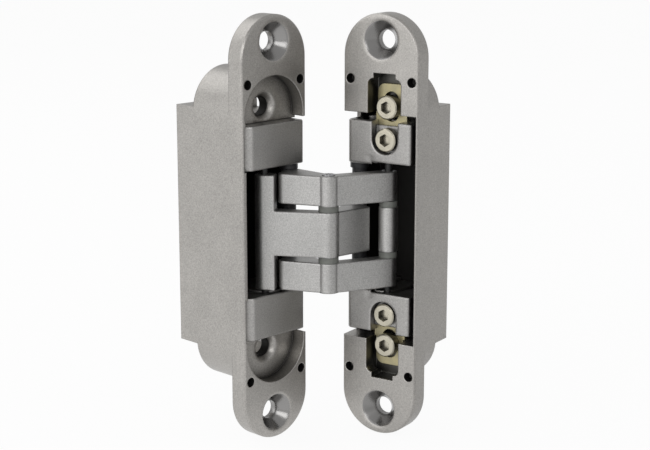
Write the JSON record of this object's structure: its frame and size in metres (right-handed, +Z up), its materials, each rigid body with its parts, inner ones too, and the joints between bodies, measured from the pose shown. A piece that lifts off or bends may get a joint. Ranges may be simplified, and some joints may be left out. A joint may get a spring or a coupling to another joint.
{
  "type": "concealed door hinge",
  "caption": "Concealed door hinge: two round-ended mortise plates with deep housings joined by interlaced bent arms that fold inside them, with socket screws for height and side adjustment.",
  "frame": {"origin": "middle of the left plate's back, where it rests in the mortise", "axes": "+X across the left plate towards the opening side, +Y into the left housing, +Z up along the plate"},
  "size_m": [0.0737, 0.0775, 0.16],
  "materials": {
    "housing": "satin",
    "block": "satin",
    "arm": "satin",
    "pin": "polished",
    "dark_spacer": "satin",
    "washer": "satin",
    "yellow_zinc": "satin",
    "screw": "satin"
  },
  "bodies": {
    "left_side": {"left_housing": "housing", "left_block_upper": "block", "left_block_lower": "block", "left_pivot_pin": "pin", "left_spacer": "dark_spacer", "left_washer_upper": "dark_spacer", "left_washer_lower": "dark_spacer"},
    "fork": {"fork_arm_upper": "arm", "fork_arm_lower": "arm", "centre_pin": "pin", "knuckle_washer_upper": "washer", "knuckle_washer_lower": "washer", "right_slide_pin": "pin", "barrel": "arm", "barrel_washer_upper": "washer", "barrel_washer_lower": "washer"},
    "t_link": {"t_arm": "arm", "left_slide_pin": "pin"},
    "carrier": {"right_block_upper": "block", "right_block_lower": "block", "right_pivot_pin": "pin", "right_spacer_upper": "dark_spacer", "right_spacer_lower": "dark_spacer", "right_washer_upper": "dark_spacer", "right_washer_lower": "dark_spacer"},
    "adjust": {"adjust_plate_upper": "yellow_zinc", "adjust_plate_lower": "yellow_zinc"},
    "right_side": {"right_housing": "housing"},
    "plate_screw_top": {"plate_screw_upper": "screw"},
    "plate_screw_bottom": {"plate_screw_lower": "screw"},
    "block_screw_top": {"block_screw_upper": "screw"},
    "block_screw_bottom": {"block_screw_lower": "screw"}
  },
  "joints": [
    {"name": "fold", "type": "hinge", "parent": "left_side", "child": "fork", "pos_m": [0.01249, -0.00116, 0], "axis": [0, 0, 1], "range_deg": [-62.91, 48.27]},
    {"name": "scissor", "type": "hinge", "parent": "fork", "child": "t_link", "pos_m": [0.01296, -0.02186, 0], "axis": [0, 0, 1], "range_deg": [-18.4, 23.98]},
    {"name": "right_fold", "type": "hinge", "parent": "t_link", "child": "carrier", "pos_m": [0.03332, -0.01807, 0], "axis": [0, 0, 1], "range_deg": [-62.92, 48.28]},
    {"name": "side_adjust", "type": "slide", "parent": "carrier", "child": "adjust", "axis": [0.2054, -0.9787, 0], "range_m": [-0.001, 0.001]},
    {"name": "height_adjust", "type": "slide", "parent": "adjust", "child": "right_side", "axis": [0, 0, 1], "range_m": [-0.0025, 0.0025]},
    {"name": "plate_screw_top_turn", "type": "hinge", "parent": "right_side", "child": "plate_screw_top", "pos_m": [0.03048, -0.03296, 0.0454], "axis": [-0.9787, -0.2054, 0], "continuous": true},
    {"name": "plate_screw_bottom_turn", "type": "hinge", "parent": "right_side", "child": "plate_screw_bottom", "pos_m": [0.03048, -0.03296, -0.0454], "axis": [-0.9787, -0.2054, 0], "continuous": true},
    {"name": "block_screw_top_turn", "type": "hinge", "parent": "adjust", "child": "block_screw_top", "pos_m": [0.03048, -0.03296, 0.0334], "axis": [-0.9787, -0.2054, 0], "continuous": true},
    {"name": "block_screw_bottom_turn", "type": "hinge", "parent": "adjust", "child": "block_screw_bottom", "pos_m": [0.03048, -0.03296, -0.0334], "axis": [-0.9787, -0.2054, 0], "continuous": true}
  ],
  "couplings": [
    {"joint": "scissor", "follows": "fold", "ratio": -0.381},
    {"joint": "right_fold", "follows": "fold", "ratio": 1}
  ]
}
